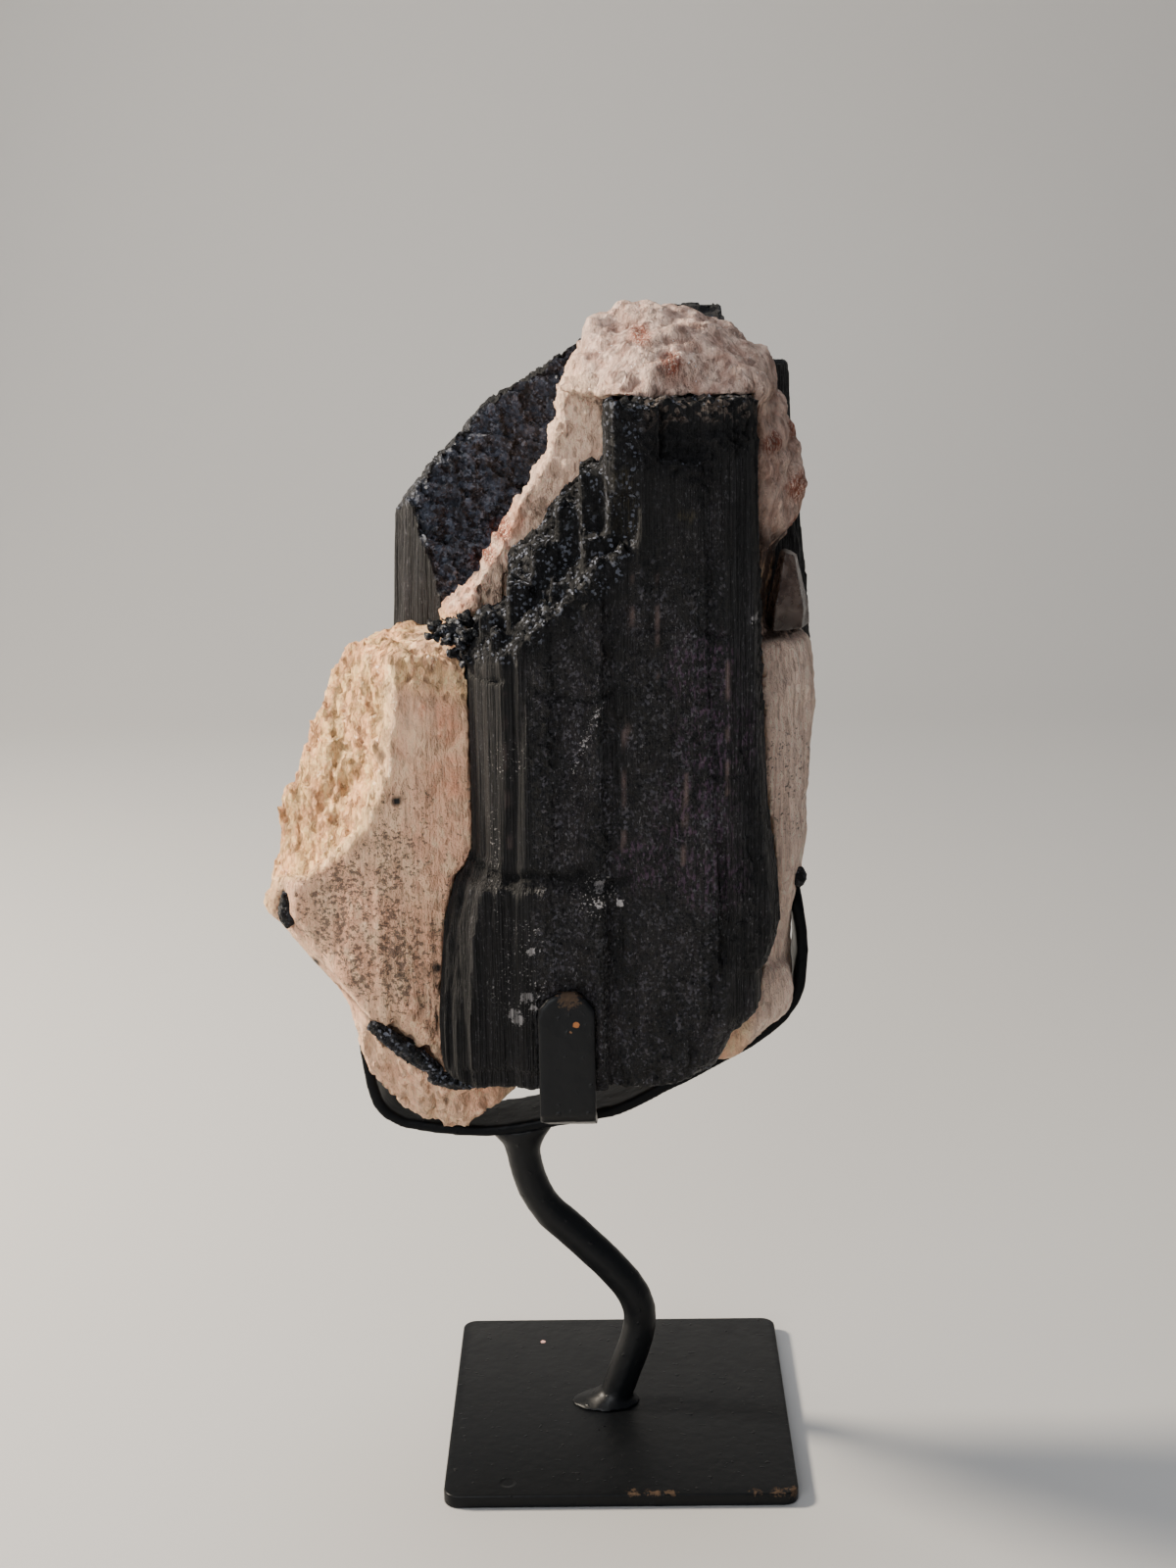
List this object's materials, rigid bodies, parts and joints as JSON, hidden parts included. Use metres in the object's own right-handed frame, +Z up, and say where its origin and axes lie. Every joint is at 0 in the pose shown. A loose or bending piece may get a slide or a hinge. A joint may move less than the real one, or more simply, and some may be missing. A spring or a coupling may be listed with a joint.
{
  "type": "black tourmaline on feldspar, on a steel display stand",
  "caption": "Black tourmaline crystals in pink feldspar, a display mineral held in the cradle of a bent-rod steel stand.",
  "frame": {"origin": "centre of the base plate's underside", "axes": "+Z up, +X to the viewer's right, +Y away from the viewer who sees the front crystal and the finger"},
  "size_m": [0.1542, 0.1, 0.3288],
  "materials": {
    "base_plate": "satin black paint",
    "stand_rod": "satin black paint",
    "cradle_bar": "satin black paint",
    "front_finger": "satin black paint",
    "feldspar": "rough broken stone",
    "front_tourmaline": "fluted crystal faces, half glossy",
    "rear_tourmaline": "fluted crystal faces, half glossy",
    "smoky_quartz": "glossy dark quartz",
    "tourmaline_knob_left": "broken crystal",
    "tourmaline_knob_right": "broken crystal",
    "tourmaline_sliver": "broken crystal"
  },
  "bodies": {
    "root": {"base_plate": "base_plate", "stand_rod": "stand_rod", "cradle_bar": "cradle_bar", "front_finger": "front_finger", "feldspar": "feldspar", "front_tourmaline": "front_tourmaline", "rear_tourmaline": "rear_tourmaline", "smoky_quartz": "smoky_quartz", "tourmaline_knob_left": "tourmaline_knob_left", "tourmaline_knob_right": "tourmaline_knob_right", "tourmaline_sliver": "tourmaline_sliver"}
  },
  "joints": []
}
